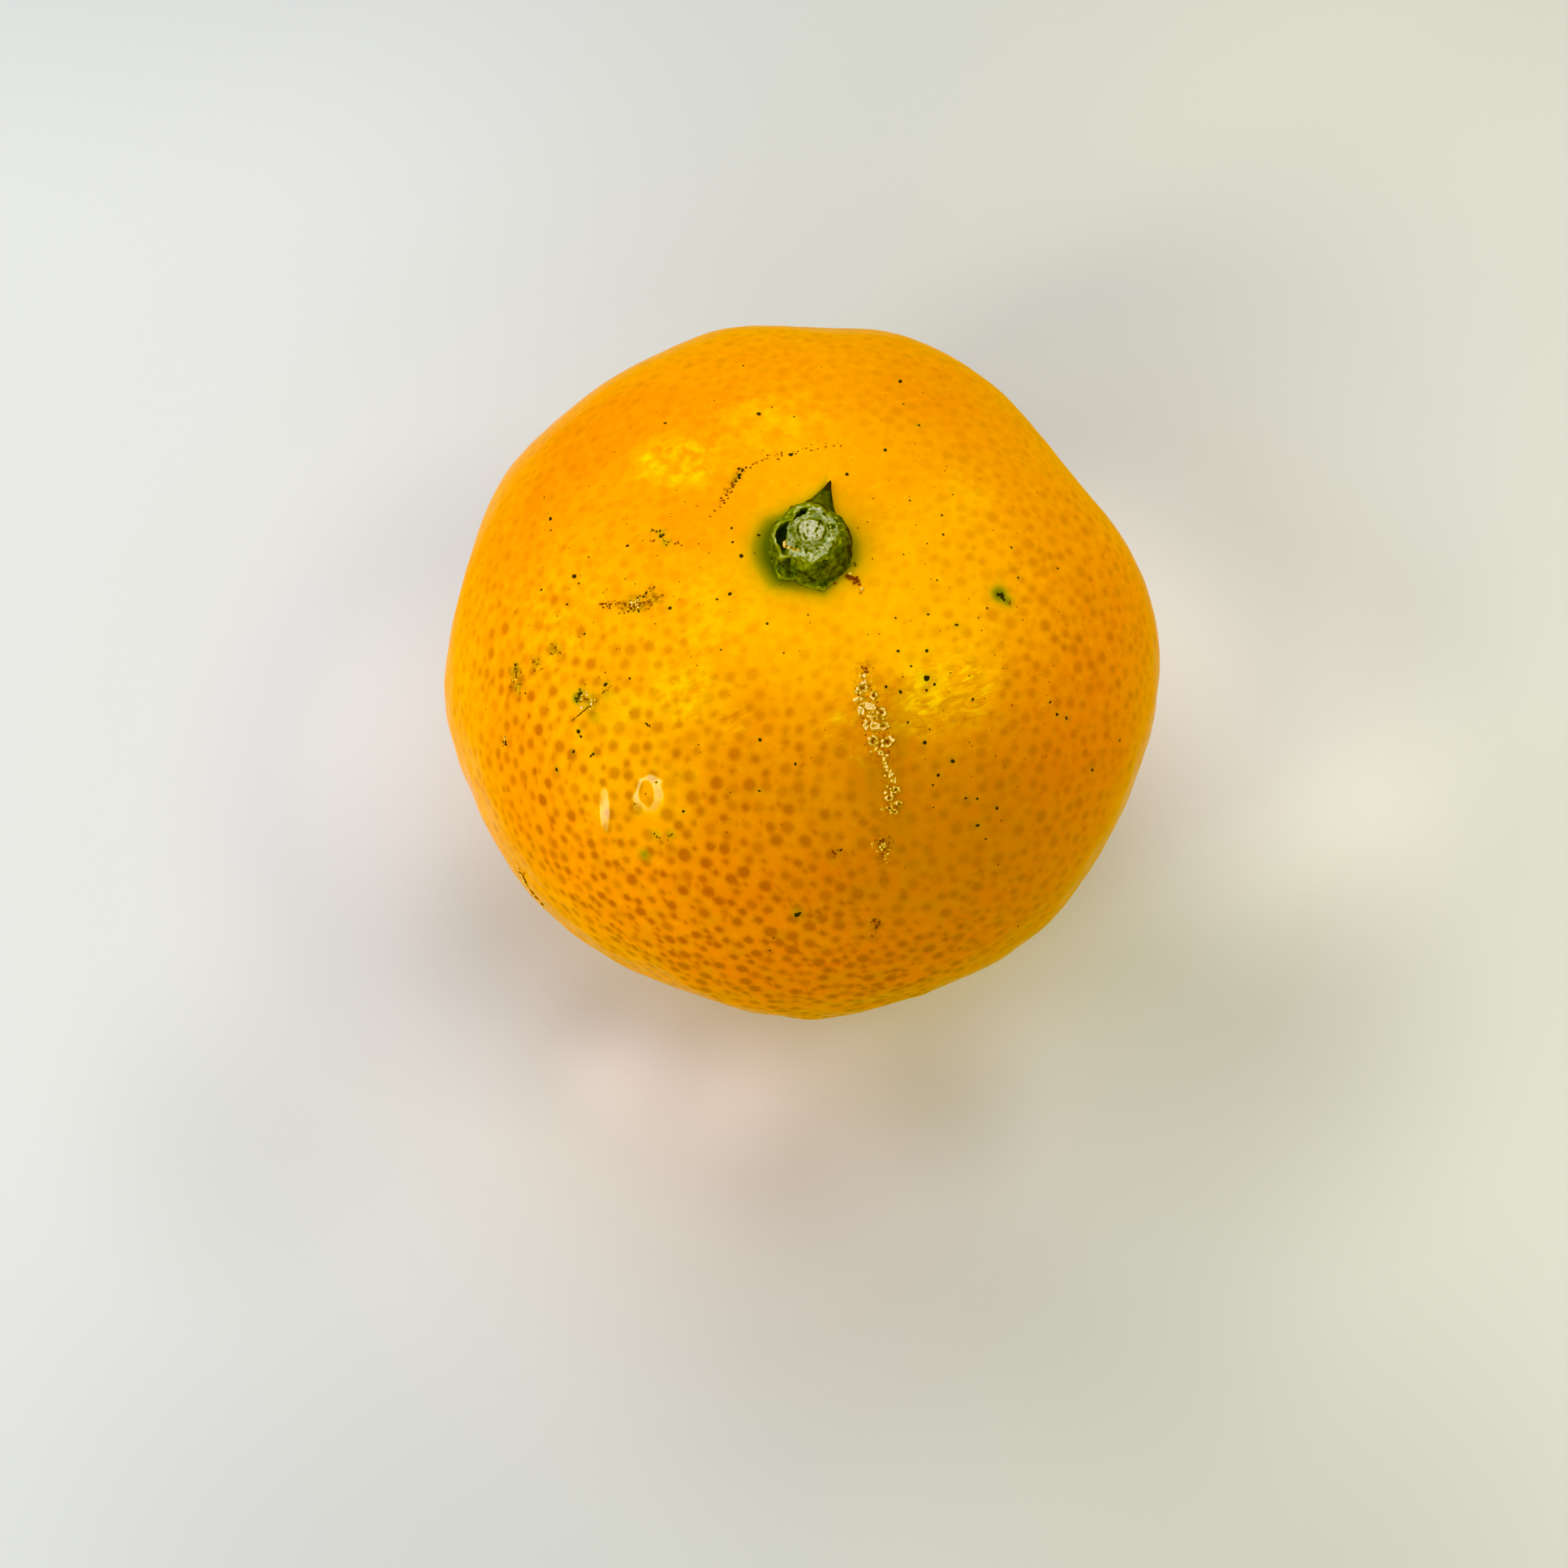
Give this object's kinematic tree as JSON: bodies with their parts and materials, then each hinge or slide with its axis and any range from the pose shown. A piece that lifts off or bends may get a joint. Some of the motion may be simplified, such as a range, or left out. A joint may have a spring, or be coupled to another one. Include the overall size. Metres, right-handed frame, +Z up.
{
  "type": "mandarin",
  "caption": "Whole fresh mandarin, a lumpy oblate citrus fruit with its green star-shaped calyx and a broken stem stub, resting on a small flat spot.",
  "frame": {"origin": "on the surface that the fruit rests on, under the middle of its outline", "axes": "+Z up, out of the stem end; +X and +Y across the fruit, with -Y towards the side that carries the corky scar"},
  "size_m": [0.061, 0.0604, 0.0503],
  "materials": {
    "peel": "waxy orange citrus rind, dotted with darker oil glands",
    "calyx": "matt dark green sepals, paler at the torn rim",
    "stem_wood": "dry pale broken stem with a lighter pith"
  },
  "bodies": {
    "root": {"fruit": "peel", "calyx": "calyx", "stem_stub": "stem_wood"}
  },
  "joints": []
}
